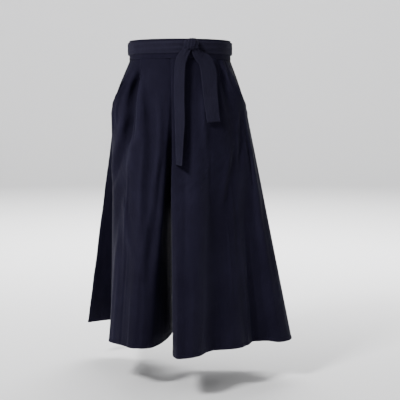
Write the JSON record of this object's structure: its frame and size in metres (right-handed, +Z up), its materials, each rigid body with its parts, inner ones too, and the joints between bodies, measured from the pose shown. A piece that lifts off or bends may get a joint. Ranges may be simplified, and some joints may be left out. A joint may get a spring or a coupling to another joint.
{
  "type": "hakama trousers",
  "caption": "Wide dark hakama-style trousers with a lapped centre pleat, side pleats, slanted pockets, an elastic back and a knotted cloth belt, shaped as worn by a standing figure",
  "frame": {"origin": "centre of the waist opening, at the middle of the height where the wearer's waist holds the garment", "axes": "+Z up along the wearer, -Y the wearer's front, +X the wearer's left"},
  "size_m": [0.6975, 0.6117, 0.9612],
  "materials": {
    "cloth": "matt dark navy woven cloth with a soft sheen",
    "belt": "matt dark navy woven cloth, a little lighter"
  },
  "bodies": {
    "root": {"front_right": "cloth", "front_left": "cloth", "back_right": "cloth", "back_left": "cloth", "pocket_facing_right": "cloth", "pocket_facing_left": "cloth", "waistband_front": "cloth", "waistband_back": "cloth", "belt_band": "belt", "belt_knot": "belt", "belt_tail_long": "belt", "belt_tail_short": "belt"}
  },
  "joints": []
}
